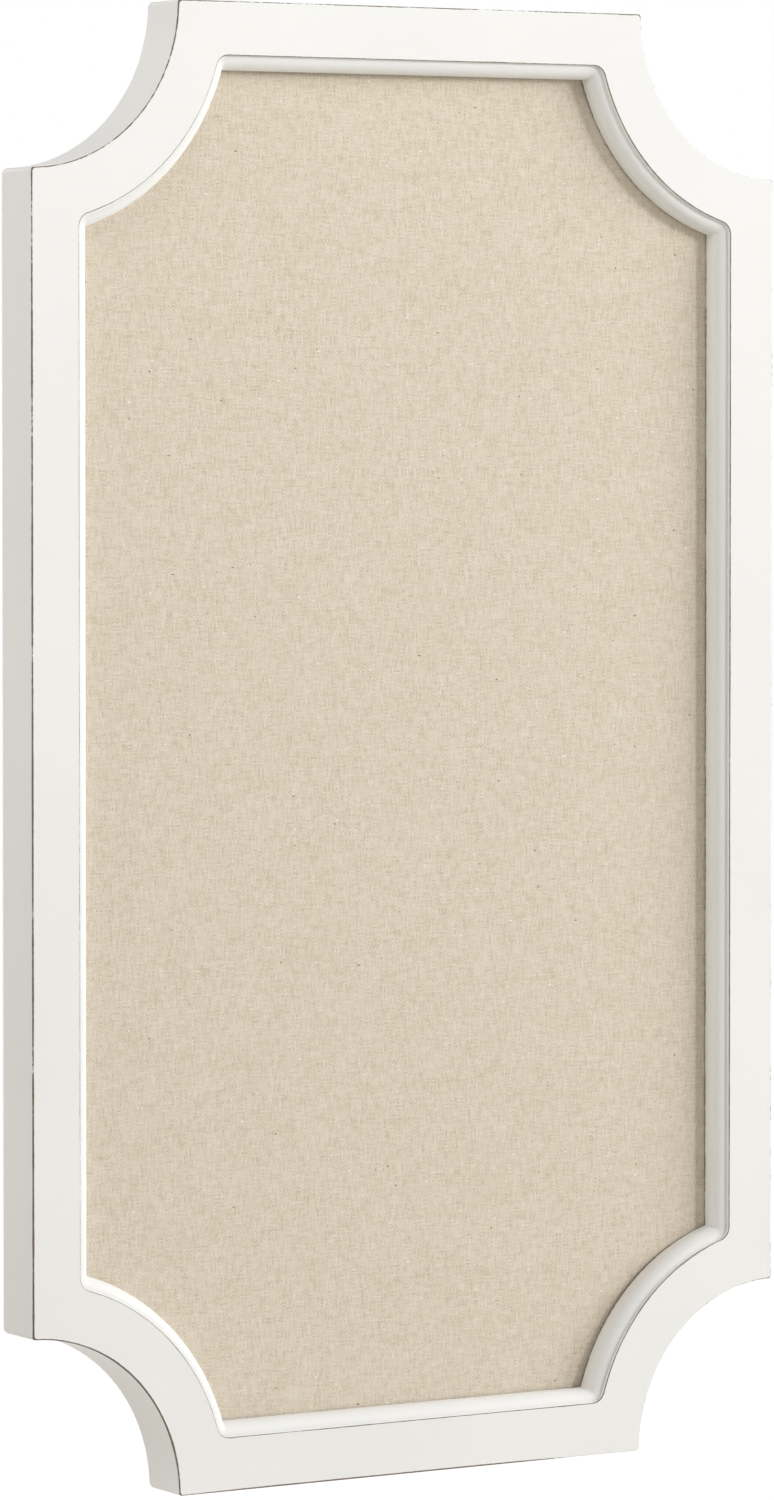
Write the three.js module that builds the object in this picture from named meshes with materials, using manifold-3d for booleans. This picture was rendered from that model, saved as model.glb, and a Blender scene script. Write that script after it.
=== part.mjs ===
// A wall-hung pin board: a moulded wooden frame with four scalloped corners round a cloth-covered
// panel. Lengths are in millimetres. X runs to the right, Z up, and Y from the front to the wall.
// The origin is on the wall, midway between the two hanging rings, at the height of their hinges.

import * as THREE from 'three';
import { mergeVertices } from 'three/addons/utils/BufferGeometryUtils.js';
import Module from 'manifold-3d';

const wasm = await Module();
wasm.setup();

// Overall size of the frame
const boardWidth = 457.2;
const boardHeight = 762;
const frameDepth = 31.75;

// Scalloped corners: quarter circles round the corners of the bounding rectangle
const scallopRadius = 86;
const cornerStub = 14.3;

// Front face and inner moulding, from the outer edge inwards
const faceWidth = 27.6;
const quirkDepth = 2;
const quirkWidth = 0.8;
const ovoloRadius = 6.4;
const lipDepth = 12.7;
const lipWidth = 9;
const backEdgeRadius = 2;

// Gaps and cutting tools
const fitGap = 0.3;
const cutOverrun = 1;

// Dowels in the butt joints
const dowelRadius = 4;
const dowelLength = 36;
const dowelChamfer = 1;
const dowelSpacing = 11;

// Panel layers, from the front
const panelClearance = 1;
const clothThickness = 0.6;
const coreThickness = 9.5;
const clothTurnIn = 22;
const backingThickness = 3;

// Retainer points driven into the rabbet wall behind the backing board
const pointThickness = 0.5;
const pointWidth = 6;
const pointDriven = 7;
const pointOverhang = 8;
const pointTipLength = 3;

// Hanger straps and their rings
const hingeBelowStileEnd = 60.72;
const strapThickness = 1;
const strapWidth = 12;
const strapEndMargin = 7;
const ringWireRadius = 1.25;
const ringSideClearance = 1.5;
const ringDrop = 19;
const curlSweep = THREE.MathUtils.degToRad(280);

// Hanger screws
const screwShankRadius = 1.5;
const screwHeadRadius = 3.1;
const screwHeadHeight = 1.8;
const screwLength = 16;
const screwTipLength = 4;
const screwBelowRing = 3.6;
const screwSpacing = 12;

// Wall bumpers
const bumperRadius = 6;
const bumperBeyondHanger = 0.4;
const bumperEdgeRadius = 1.5;
const bumperRise = 18;

// Counts of facets and copies
const arcSteps = 18;
const filletSteps = 4;
const ovoloSteps = 5;
const roundSteps = 3;
const holeSides = 16;
const wireSides = 8;
const curlSteps = 16;
const pointsPerRail = 2;
const pointsPerStile = 3;

// Places that follow from the sizes above
const openingInset = faceWidth + quirkWidth + ovoloRadius;
const rabbetInset = openingInset - lipWidth;
const cornerBlockReach = tipCentre(openingInset, 0).x + cornerStub;
const jointReach = cornerBlockReach + fitGap / 2;
const coverFront = lipDepth + fitGap;
const coreFront = coverFront + clothThickness + fitGap;
const coverBack = coreFront + coreThickness + fitGap + clothThickness;
const backingFront = coverBack + fitGap;
const pointFront = backingFront + backingThickness + fitGap;
const panelInset = rabbetInset + panelClearance;
const coreInset = panelInset + clothThickness + fitGap;
const curlInnerRadius = ringWireRadius + fitGap;
const curlOuterRadius = curlInnerRadius + strapThickness;
const ringHalfWidth = strapWidth / 2 + ringSideClearance + ringWireRadius;
const ringBendRadius = ringSideClearance + ringWireRadius - fitGap;
const upperScrewDrop = ringDrop + ringWireRadius + screwBelowRing + screwHeadRadius;
const lowerScrewDrop = upperScrewDrop + screwSpacing;
const strapLength = lowerScrewDrop + strapEndMargin;
const bumperHeight = 2 * curlOuterRadius + bumperBeyondHanger;
const wallDepth = frameDepth + fitGap + bumperHeight;
const backCentreInset = rabbetInset / 2;
const railLength = boardWidth - 2 * (cornerBlockReach + fitGap);
const stileLength = boardHeight - 2 * (cornerBlockReach + fitGap);
const hangerX = boardWidth / 2 - backCentreInset;
const hingeToCentre = stileLength / 2 - hingeBelowStileEnd;
const hingeDepth = frameDepth + fitGap + curlOuterRadius;
const screwUnderHead = fitGap - curlInnerRadius;

const paint = new THREE.MeshStandardMaterial({ color: 0xf2f1ed, roughness: 0.45, metalness: 0 });
const linen = new THREE.MeshStandardMaterial({ color: 0xdccfba, roughness: 0.95, metalness: 0 });
const fibre = new THREE.MeshStandardMaterial({ color: 0xb59a72, roughness: 0.95, metalness: 0 });
const hardboard = new THREE.MeshStandardMaterial({ color: 0x6b4a2f, roughness: 0.7, metalness: 0 });
const beech = new THREE.MeshStandardMaterial({ color: 0xcfa878, roughness: 0.7, metalness: 0 });
const steel = new THREE.MeshStandardMaterial({ color: 0xc4c6c8, roughness: 0.3, metalness: 1 });
const rubber = new THREE.MeshStandardMaterial({ color: 0x8d8a86, roughness: 0.8, metalness: 0 });

// Closed meshes

// Keeps only positions, joins equal vertices and drops triangles that have shrunk to a line.
function weld(geometry) {
  const bare = geometry.clone();
  for (const name of Object.keys(bare.attributes)) {
    if (name !== 'position') bare.deleteAttribute(name);
  }
  const merged = mergeVertices(bare);
  const corners = merged.index.array;
  const kept = [];
  for (let i = 0; i < corners.length; i += 3) {
    const [a, b, c] = [corners[i], corners[i + 1], corners[i + 2]];
    if (a !== b && b !== c && c !== a) kept.push(a, b, c);
  }
  merged.setIndex(kept);
  return merged;
}

function toSolid(geometry) {
  const welded = weld(geometry);
  return new wasm.Manifold(new wasm.Mesh({
    numProp: 3,
    vertProperties: new Float32Array(welded.attributes.position.array),
    triVerts: new Uint32Array(welded.index.array),
  }));
}

function toGeometry(solid) {
  const mesh = solid.getMesh();
  const geometry = new THREE.BufferGeometry();
  geometry.setAttribute('position', new THREE.BufferAttribute(mesh.vertProperties, 3));
  geometry.setIndex(new THREE.BufferAttribute(mesh.triVerts, 1));
  return geometry;
}

function cut(body, tools) {
  let solid = toSolid(body);
  for (const tool of tools) solid = solid.subtract(toSolid(tool));
  return toGeometry(solid);
}

function named(name, geometry, material) {
  const mesh = new THREE.Mesh(weld(geometry), material);
  mesh.geometry.computeVertexNormals();
  mesh.name = name;
  return mesh;
}

// A plate cut along an outline in the XZ plane, with its front face at the given depth.
function plate(outline, front, thickness) {
  const shape = new THREE.Shape(outline);
  const geometry = new THREE.ExtrudeGeometry(shape, { depth: thickness, bevelEnabled: false });
  geometry.rotateX(-Math.PI / 2);
  return geometry.translate(0, front, 0);
}

// A solid of revolution round the Y axis, from radius and height pairs that start and end on it.
function turned(profile, sides) {
  return new THREE.LatheGeometry(profile.map(([radius, height]) => new THREE.Vector2(radius, height)), sides);
}

// The scalloped outline
// A place near a corner is given as (across, down): its distances from the two edges of the
// bounding rectangle that meet there. Every line of the frame runs parallel to the outer edge,
// at an inset, and may round the tip between its straight part and its arc.

// Centre of a rounding whose circle touches the straight line and the arc at this inset.
function tipCentre(inset, rounding) {
  const reach = inset + rounding;
  return new THREE.Vector2(Math.sqrt((scallopRadius + reach) ** 2 - reach ** 2), reach);
}

// Half a corner: from the tip's straight side round to the arc at its end.
function tipPoints(inset, rounding) {
  const centre = tipCentre(inset, rounding);
  const start = -Math.PI / 2;
  const end = centre.angle() - Math.PI;
  return Array.from({ length: filletSteps + 1 }, (_, i) => {
    const angle = THREE.MathUtils.lerp(start, end, i / filletSteps);
    return new THREE.Vector2(Math.cos(angle), Math.sin(angle)).multiplyScalar(rounding).add(centre);
  });
}

function arcPoints(inset, rounding) {
  const start = tipCentre(inset, rounding).angle();
  const end = Math.PI / 2 - start;
  return Array.from({ length: arcSteps - 1 }, (_, i) => {
    const angle = THREE.MathUtils.lerp(start, end, (i + 1) / arcSteps);
    return new THREE.Vector2(Math.cos(angle), Math.sin(angle)).multiplyScalar(scallopRadius + inset);
  });
}

function cornerPoints(inset, rounding) {
  const first = tipPoints(inset, rounding);
  const last = first.map((p) => new THREE.Vector2(p.y, p.x)).reverse();
  return [...first, ...arcPoints(inset, rounding), ...last];
}

// Rounding of a line that was cut by a router following the edge of the opening.
function openingRounding(inset) {
  return Math.max(openingInset - inset, 0);
}

// The whole outline at an inset, centred on the board, anticlockwise from the top right corner.
function boardOutline(inset) {
  const corner = cornerPoints(inset, openingRounding(inset));
  const topRight = corner.map((p) => new THREE.Vector2(boardWidth / 2 - p.x, boardHeight / 2 - p.y)).reverse();
  const topLeft = topRight.map((p) => new THREE.Vector2(-p.x, p.y)).reverse();
  const bottomLeft = topRight.map((p) => p.clone().negate());
  const bottomRight = topLeft.map((p) => p.clone().negate());
  return [...topRight, ...topLeft, ...bottomLeft, ...bottomRight];
}

// The frame

// The frame's section: inset from the outer edge, depth behind the face, and the rounding of the
// tips at that line. The front arris and the sides are sharp at the tips, and the back edge rounds.
function frameSection() {
  const section = [{ inset: 0, depth: 0, rounding: 0 }];
  const moulded = (inset, depth) => section.push({ inset, depth, rounding: openingRounding(inset) });
  moulded(faceWidth, 0);
  moulded(faceWidth, quirkDepth);
  for (let i = 0; i <= ovoloSteps; i++) {
    const angle = (i / ovoloSteps) * Math.PI / 2;
    moulded(
      openingInset - ovoloRadius * (1 - Math.sin(angle)),
      quirkDepth + ovoloRadius * (1 - Math.cos(angle)),
    );
  }
  moulded(openingInset, lipDepth);
  moulded(rabbetInset, lipDepth);
  moulded(rabbetInset, frameDepth);
  for (let i = 0; i <= roundSteps; i++) {
    const angle = (i / roundSteps) * Math.PI / 2;
    const inset = backEdgeRadius * (1 - Math.sin(angle));
    section.push({ inset, depth: frameDepth - backEdgeRadius * (1 - Math.cos(angle)), rounding: inset });
  }
  return section;
}

// Sweeps the section along a path that can differ from line to line of the section.
function sweepSection(pathAt) {
  const section = frameSection();
  const paths = section.map((line) => pathAt(line));
  const count = paths[0].length;
  const positions = [];
  section.forEach((line, i) => paths[i].forEach((p) => positions.push(p.x, line.depth, p.y)));
  const index = [];
  const at = (i, j) => (i % section.length) * count + j;
  for (let i = 0; i < section.length; i++) {
    for (let j = 0; j < count - 1; j++) {
      index.push(at(i, j), at(i + 1, j), at(i, j + 1));
      index.push(at(i + 1, j), at(i + 1, j + 1), at(i, j + 1));
    }
  }
  const contour = section.map((line) => new THREE.Vector2(line.inset, line.depth));
  for (const [a, b, c] of THREE.ShapeUtils.triangulateShape(contour, [])) {
    index.push(at(c, 0), at(b, 0), at(a, 0));
    index.push(at(a, count - 1), at(b, count - 1), at(c, count - 1));
  }
  const geometry = new THREE.BufferGeometry();
  geometry.setAttribute('position', new THREE.Float32BufferAttribute(positions, 3));
  geometry.setIndex(index);
  return geometry;
}

const dowelInsets = [backCentreInset - dowelSpacing / 2, backCentreInset + dowelSpacing / 2];

// Two blind holes along X for the dowels of a joint whose face is at x, bored to both sides of it.
function dowelHoles(x) {
  return dowelInsets.map((inset) => {
    const length = dowelLength + 2 * fitGap;
    const hole = new THREE.CylinderGeometry(dowelRadius + fitGap, dowelRadius + fitGap, length, holeSides);
    return hole.rotateZ(Math.PI / 2).translate(x, frameDepth / 2, -inset);
  });
}

// The slot that a retainer point cuts into the rabbet wall, in the point's own frame.
function pointSlot() {
  const depth = pointDriven + fitGap;
  const height = pointThickness + 2 * fitGap;
  const slot = new THREE.BoxGeometry(pointWidth + 2 * fitGap, height, depth + cutOverrun);
  return slot.translate(0, pointFront + pointThickness / 2, (depth - cutOverrun) / 2);
}

// A hole round a hanger screw, along Y from one depth to another.
function screwHole(from, to) {
  const radius = screwShankRadius + fitGap;
  const hole = new THREE.CylinderGeometry(radius, radius, to - from, holeSides);
  return hole.translate(0, (from + to) / 2, 0);
}

// Evenly spaced places along a length, centred on it, half a space from its ends.
function spread(count, length) {
  return Array.from({ length: count }, (_, i) => ((i + 0.5) / count - 0.5) * length);
}

// A straight length of the frame, drawn as the top rail: its outer front arris is the X axis.
function straightMember(length, pointPlaces, screwPlaces) {
  const body = sweepSection((line) => [
    new THREE.Vector2(-length / 2, -line.inset),
    new THREE.Vector2(length / 2, -line.inset),
  ]);
  const joint = (length + fitGap) / 2;
  const screwTip = hingeDepth + screwUnderHead - screwLength;
  const screwBore = screwHole(screwTip - fitGap, frameDepth + cutOverrun);
  return cut(body, [
    ...dowelHoles(-joint),
    ...dowelHoles(joint),
    ...pointPlaces.map((x) => pointSlot().translate(x, 0, -rabbetInset)),
    ...screwPlaces.map((x) => screwBore.clone().translate(x, 0, -backCentreInset)),
  ]);
}

// The corner block, drawn as the top right one, with its origin at the bounding corner.
function cornerBlock() {
  const body = sweepSection((line) => {
    const corner = cornerPoints(line.inset, line.rounding);
    const path = [
      new THREE.Vector2(cornerBlockReach, line.inset),
      ...corner,
      new THREE.Vector2(line.inset, cornerBlockReach),
    ];
    return path.map((p) => p.negate());
  });
  const railHoles = dowelHoles(-jointReach);
  const stileHoles = dowelHoles(jointReach).map((hole) => hole.rotateY(Math.PI / 2));
  return cut(body, [...railHoles, ...stileHoles, seatOnArc(pointSlot())]);
}

// Puts something made for a straight rabbet wall on the middle of a corner's arc.
function seatOnArc(thing) {
  const reach = (scallopRadius + rabbetInset) * Math.SQRT1_2;
  return thing.rotateY(Math.PI / 4).translate(-reach, 0, -reach);
}

// A fluteless dowel with chamfered ends, lying along X.
function dowel() {
  const half = dowelLength / 2;
  const profile = [
    [0, -half],
    [dowelRadius - dowelChamfer, -half],
    [dowelRadius, -half + dowelChamfer],
    [dowelRadius, half - dowelChamfer],
    [dowelRadius - dowelChamfer, half],
    [0, half],
  ];
  return turned(profile, holeSides).rotateZ(Math.PI / 2);
}

// A flat steel point: its tip is in the wall, along +Z, and its square end lies over the backing.
function retainerPoint() {
  const half = pointWidth / 2;
  const outline = [
    new THREE.Vector2(-half, pointOverhang),
    new THREE.Vector2(-half, pointTipLength - pointDriven),
    new THREE.Vector2(0, -pointDriven),
    new THREE.Vector2(half, pointTipLength - pointDriven),
    new THREE.Vector2(half, pointOverhang),
  ];
  return plate(outline, pointFront, pointThickness);
}

// The panel

function linenCover() {
  const depth = coverBack - coverFront;
  const wrap = plate(boardOutline(panelInset), coverFront, depth);
  const inside = plate(
    boardOutline(panelInset + clothThickness),
    coverFront + clothThickness,
    depth - 2 * clothThickness,
  );
  const window = plate(
    boardOutline(panelInset + clothTurnIn),
    coverFront + clothThickness + cutOverrun,
    depth,
  );
  return cut(wrap, [inside, window]);
}

function pinCore() {
  return plate(boardOutline(coreInset), coreFront, coreThickness);
}

function backingBoard() {
  return plate(boardOutline(panelInset), backingFront, backingThickness);
}

// The hanging hardware, drawn round the ring's hinge axis

// Side view of the strap: up the frame's back, over the ring's straight bar and round under it.
function strapProfile() {
  const top = Math.PI;
  const end = top - curlSweep;
  const arc = (radius, from, to) => Array.from({ length: curlSteps + 1 }, (_, i) => {
    const angle = THREE.MathUtils.lerp(from, to, i / curlSteps);
    return new THREE.Vector2(Math.cos(angle), Math.sin(angle)).multiplyScalar(radius);
  });
  return [
    new THREE.Vector2(-curlOuterRadius, -strapLength),
    ...arc(curlOuterRadius, top, end),
    ...arc(curlInnerRadius, end, top),
    new THREE.Vector2(-curlInnerRadius, -strapLength),
  ];
}

function hangerStrap() {
  const shape = new THREE.Shape(strapProfile());
  const strip = new THREE.ExtrudeGeometry(shape, { depth: strapWidth, bevelEnabled: false });
  strip.translate(0, 0, -strapWidth / 2);
  strip.applyMatrix4(new THREE.Matrix4().makeBasis(
    new THREE.Vector3(0, 1, 0),
    new THREE.Vector3(0, 0, 1),
    new THREE.Vector3(1, 0, 0),
  ));
  const half = strapWidth / 2;
  const rounded = new THREE.Shape();
  rounded.moveTo(half, -curlOuterRadius - cutOverrun);
  rounded.lineTo(half, strapLength - half);
  rounded.absarc(0, strapLength - half, half, 0, Math.PI, false);
  rounded.lineTo(-half, -curlOuterRadius - cutOverrun);
  const depth = 2 * (curlOuterRadius + cutOverrun);
  const outline = plate(rounded.getPoints(roundSteps), -depth / 2, depth);
  const holes = [upperScrewDrop, lowerScrewDrop].map((drop) => (
    screwHole(-depth / 2, depth / 2).translate(0, 0, -drop)
  ));
  return cut(toGeometry(toSolid(strip).intersect(toSolid(outline))), holes);
}

// Centre line of the D-shaped ring, hanging down from its straight bar.
function ringLine() {
  const bend = ringBendRadius;
  const line = new THREE.Path();
  line.moveTo(ringHalfWidth - bend, 0);
  line.absarc(bend - ringHalfWidth, -bend, bend, Math.PI / 2, Math.PI, false);
  line.absarc(0, ringHalfWidth - ringDrop, ringHalfWidth, Math.PI, 2 * Math.PI, false);
  line.absarc(ringHalfWidth - bend, -bend, bend, 0, Math.PI / 2, false);
  return line.getPoints(filletSteps).slice(1);
}

function hangerRing() {
  const line = ringLine();
  const positions = [];
  line.forEach((p, i) => {
    const before = line.at(i - 1);
    const after = line[(i + 1) % line.length];
    const along = p.clone().sub(before).normalize().add(after.clone().sub(p).normalize()).normalize();
    const out = new THREE.Vector2(along.y, -along.x);
    for (let k = 0; k < wireSides; k++) {
      const angle = (k / wireSides) * 2 * Math.PI;
      const side = ringWireRadius * Math.cos(angle);
      positions.push(p.x + side * out.x, ringWireRadius * Math.sin(angle), p.y + side * out.y);
    }
  });
  const index = [];
  const at = (i, k) => (i % line.length) * wireSides + (k % wireSides);
  for (let i = 0; i < line.length; i++) {
    for (let k = 0; k < wireSides; k++) {
      index.push(at(i, k), at(i, k + 1), at(i + 1, k));
      index.push(at(i + 1, k), at(i, k + 1), at(i + 1, k + 1));
    }
  }
  const geometry = new THREE.BufferGeometry();
  geometry.setAttribute('position', new THREE.Float32BufferAttribute(positions, 3));
  geometry.setIndex(index);
  return geometry;
}

// A pan-head screw along Y: its tip is in the frame and its head stands out towards the wall.
function hangerScrew() {
  const rim = screwHeadHeight / 2;
  const dome = Array.from({ length: roundSteps + 1 }, (_, i) => {
    const angle = (i / roundSteps) * Math.PI / 2;
    return [screwHeadRadius * Math.cos(angle), rim * (1 + Math.sin(angle))];
  });
  const profile = [
    [0, -screwLength],
    [screwShankRadius, screwTipLength - screwLength],
    [screwShankRadius, 0],
    [screwHeadRadius, 0],
    ...dome,
  ];
  return turned(profile, holeSides);
}

function wallBumper() {
  const rim = Array.from({ length: roundSteps + 1 }, (_, i) => {
    const angle = (i / roundSteps) * Math.PI / 2;
    return [
      bumperRadius - bumperEdgeRadius * (1 - Math.cos(angle)),
      bumperHeight - bumperEdgeRadius * (1 - Math.sin(angle)),
    ];
  });
  return turned([[0, 0], [bumperRadius, 0], ...rim, [0, bumperHeight]], holeSides);
}

// Assembly: the board's group has its origin at the centre of the front face

const pinBoard = new THREE.Group();
const board = new THREE.Group();
board.position.set(0, -wallDepth, -hingeToCentre);
pinBoard.add(board);

// Four straight members, each turned a further quarter about the board's centre.
const stileScrews = [upperScrewDrop, lowerScrewDrop].map((drop) => hingeToCentre - drop);
const railPoints = spread(pointsPerRail, railLength);
const stilePoints = spread(pointsPerStile, stileLength);
const rail = straightMember(railLength, railPoints, []);
const rightStile = straightMember(stileLength, stilePoints, stileScrews.map((z) => -z));
const leftStile = straightMember(stileLength, stilePoints, stileScrews);
const members = [
  { name: 'top_rail', turn: 0, x: 0, z: boardHeight / 2, geometry: rail, points: railPoints },
  { name: 'right_stile', turn: 1, x: boardWidth / 2, z: 0, geometry: rightStile, points: stilePoints },
  { name: 'bottom_rail', turn: 2, x: 0, z: -boardHeight / 2, geometry: rail, points: railPoints },
  { name: 'left_stile', turn: 3, x: -boardWidth / 2, z: 0, geometry: leftStile, points: stilePoints },
];
for (const member of members) {
  const group = new THREE.Group();
  group.position.set(member.x, 0, member.z);
  group.rotation.y = member.turn * Math.PI / 2;
  group.add(named(member.name, member.geometry, paint));
  member.points.forEach((x, i) => {
    const point = named(`retainer_point_${member.name}_${i + 1}`, retainerPoint(), steel);
    point.position.set(x, 0, -rabbetInset);
    group.add(point);
  });
  board.add(group);
}

// Four corner blocks with the dowels of their two joints.
const block = cornerBlock();
const corners = [
  { name: 'top_right', turn: 0, x: boardWidth / 2, z: boardHeight / 2, joints: ['rail', 'stile'] },
  { name: 'bottom_right', turn: 1, x: boardWidth / 2, z: -boardHeight / 2, joints: ['stile', 'rail'] },
  { name: 'bottom_left', turn: 2, x: -boardWidth / 2, z: -boardHeight / 2, joints: ['rail', 'stile'] },
  { name: 'top_left', turn: 3, x: -boardWidth / 2, z: boardHeight / 2, joints: ['stile', 'rail'] },
];
for (const corner of corners) {
  const group = new THREE.Group();
  group.position.set(corner.x, 0, corner.z);
  group.rotation.y = corner.turn * Math.PI / 2;
  group.add(named(`corner_block_${corner.name}`, block, paint));
  group.add(named(`retainer_point_corner_${corner.name}`, seatOnArc(retainerPoint()), steel));
  dowelInsets.forEach((inset, i) => {
    const place = ['outer', 'inner'][i];
    const first = named(`dowel_${corner.name}_${corner.joints[0]}_${place}`, dowel(), beech);
    first.position.set(-jointReach, frameDepth / 2, -inset);
    const second = named(`dowel_${corner.name}_${corner.joints[1]}_${place}`, dowel(), beech);
    second.position.set(-inset, frameDepth / 2, -jointReach);
    second.rotation.y = Math.PI / 2;
    group.add(first, second);
  });
  board.add(group);
}

board.add(named('linen_cover', linenCover(), linen));
board.add(named('pin_core', pinCore(), fibre));
board.add(named('backing_board', backingBoard(), hardboard));

// The hanging hardware and the bumper of each stile.
for (const [side, sign] of [['left', -1], ['right', 1]]) {
  const hanger = new THREE.Group();
  hanger.position.set(sign * hangerX, hingeDepth, hingeToCentre);
  hanger.add(named(`hanger_strap_${side}`, hangerStrap(), steel));
  hanger.add(named(`hanger_ring_${side}`, hangerRing(), steel));
  for (const [place, drop] of [['upper', upperScrewDrop], ['lower', lowerScrewDrop]]) {
    const screw = named(`hanger_screw_${side}_${place}`, hangerScrew(), steel);
    screw.position.set(0, screwUnderHead, -drop);
    hanger.add(screw);
  }
  board.add(hanger);
  const bumper = named(`wall_bumper_${side}`, wallBumper(), rubber);
  bumper.position.set(sign * hangerX, frameDepth + fitGap, bumperRise - stileLength / 2);
  board.add(bumper);
}

export default pinBoard;
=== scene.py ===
"""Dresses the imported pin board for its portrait: a rubbed white frame round a linen-covered panel.

All lengths are in metres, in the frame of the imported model: X to the right, Z up and Y from the
front of the board to the wall.
"""

import math

import bmesh
import bpy
from bpy.props import FloatProperty, FloatVectorProperty, IntProperty, PointerProperty
from mathutils import Matrix, Vector


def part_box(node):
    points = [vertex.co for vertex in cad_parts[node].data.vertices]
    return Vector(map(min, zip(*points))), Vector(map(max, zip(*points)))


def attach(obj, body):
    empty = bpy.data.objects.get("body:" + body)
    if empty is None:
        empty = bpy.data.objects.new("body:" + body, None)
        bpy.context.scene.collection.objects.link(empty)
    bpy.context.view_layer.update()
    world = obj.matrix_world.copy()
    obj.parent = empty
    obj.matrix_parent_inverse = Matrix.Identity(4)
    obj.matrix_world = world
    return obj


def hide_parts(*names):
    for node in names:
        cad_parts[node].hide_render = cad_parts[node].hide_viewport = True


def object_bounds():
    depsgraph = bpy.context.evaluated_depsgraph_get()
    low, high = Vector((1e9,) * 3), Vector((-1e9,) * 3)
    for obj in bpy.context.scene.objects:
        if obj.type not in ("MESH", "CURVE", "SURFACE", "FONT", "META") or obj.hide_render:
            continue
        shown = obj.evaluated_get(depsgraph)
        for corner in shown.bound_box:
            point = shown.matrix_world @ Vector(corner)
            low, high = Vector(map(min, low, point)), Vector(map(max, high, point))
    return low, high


bl_info = {
    "name": "Scalloped pin board",
    "version": (1, 0, 0),
    "blender": (4, 5, 0),
    "location": "3D View > Sidebar > Pin Board",
    "description": "Builds the painted frame, the linen, the back and the hangers round the packed model",
    "category": "Object",
}

MM = 0.001
MERGE = 0.001 * MM
CORNERS = ("top_left", "top_right", "bottom_left", "bottom_right")
MEMBERS = ("top_rail", "bottom_rail", "left_stile", "right_stile")
SIDES = ("left", "right")

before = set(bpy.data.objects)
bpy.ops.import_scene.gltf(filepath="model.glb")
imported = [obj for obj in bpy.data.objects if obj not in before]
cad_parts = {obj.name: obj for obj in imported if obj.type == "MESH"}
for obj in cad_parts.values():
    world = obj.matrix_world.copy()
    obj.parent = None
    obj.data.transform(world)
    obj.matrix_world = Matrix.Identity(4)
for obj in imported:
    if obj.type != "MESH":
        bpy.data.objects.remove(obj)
cad_low, cad_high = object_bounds()


def length(name, millimetres, description):
    """A length property whose default is given in millimetres."""
    return FloatProperty(
        name=name, description=description, default=millimetres * MM, precision=5, unit="LENGTH"
    )


def tint(name, colour, description):
    """A colour property, as linear red, green and blue."""
    return FloatVectorProperty(
        name=name, description=description, default=colour, subtype="COLOR", size=3, min=0, max=1
    )


class FrameSizes(bpy.types.PropertyGroup):
    """Section and scallops of the wooden frame."""

    scallop_radius: length("Scallop radius", 86, "Radius of the scooped corners at the outer edge")
    face_width: length("Face width", 27.6, "Flat front face, from the outer edge to the moulding")
    step_depth: length("Step depth", 2, "Drop from the front face to the foot of the moulding's step")
    step_width: length("Step width", 0.8, "Flat at the foot of the step")
    round_radius: length("Round radius", 6.4, "Quarter round between the step and the opening")
    lip_depth: length("Lip depth", 12.7, "Depth of the opening's wall behind the front face")
    lip_width: length("Lip width", 9, "Overhang of the lip in front of the panel")
    lip_edge: length("Lip edge", 0.4, "Rounding of the lip beside the cloth, and bevel of the rabbet")
    depth: length("Depth", 31.75, "Whole thickness of the frame")
    back_radius: length("Back radius", 2, "Rounding of the outer back edge")
    arris_radius: length("Arris radius", 0.4, "Rounding of the sharp edges of the front")
    front_tip_radius: length("Front tip radius", 1.4, "Rounding of the points between scallop and side")
    back_tip_radius: length("Back tip radius", 3.4, "Rounding of the same points at the back")
    arc_steps: IntProperty(name="Arc steps", description="Steps round each scallop", default=48, min=8)
    tip_steps: IntProperty(name="Tip steps", description="Steps round each point", default=6, min=2)


class PanelSizes(bpy.types.PropertyGroup):
    """Cloth, core and backing board behind the opening."""

    inset: length("Inset", 26.8, "From the frame's outer edge to the edge of the panel")
    cover_front: length("Cover front", 13, "Depth of the cloth's outer side behind the front face")
    cover_back: length("Cover back", 24.3, "Depth of the turned-in cloth's outer side")
    cloth: length("Cloth thickness", 0.6, "Thickness of the linen")
    turn_in: length("Turn-in", 22, "Cloth folded over the back of the core")
    edge_radius: length("Edge radius", 1.4, "Rounding of the cloth over the edge of the core")
    backing_front: length("Backing front", 24.6, "Depth of the backing board's front side")
    backing: length("Backing thickness", 3, "Thickness of the backing board")
    backing_bevel: length("Backing bevel", 0.25, "Bevel round the backing board")
    backing_tip: length("Backing tip", 0.3, "Rounding of the backing board's points")


class HangerSizes(bpy.types.PropertyGroup):
    """Straps, rings, screws and bumpers on the back."""

    strap: length("Strap thickness", 1, "Sheet steel of the strap")
    hole_radius: length("Hole radius", 1.8, "Screw holes in the strap")
    strap_edge: length("Strap edge", 0.12, "Rounding of the strap's cut edges")
    wire_radius: length("Wire radius", 1.25, "Half the thickness of the ring's wire")
    bend_radius: length("Bend radius", 2.45, "Bend between the ring's bar and its sides")
    head_height: length("Head height", 1.8, "Height of the screw heads, half of it rim and half dome")
    recess_depth: length("Recess depth", 1.0, "Depth of the cross in the screw heads")
    shank_radius: length("Shank radius", 1.5, "Radius of the screw shanks")
    tip_length: length("Tip length", 4, "Pointed end of the screws")
    bumper_edge: length("Bumper edge", 1.5, "Rounding of the bumper's rim")
    curl_sweep: IntProperty(
        name="Curl sweep", description="Degrees that the strap turns round the ring", default=280, min=90
    )


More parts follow.
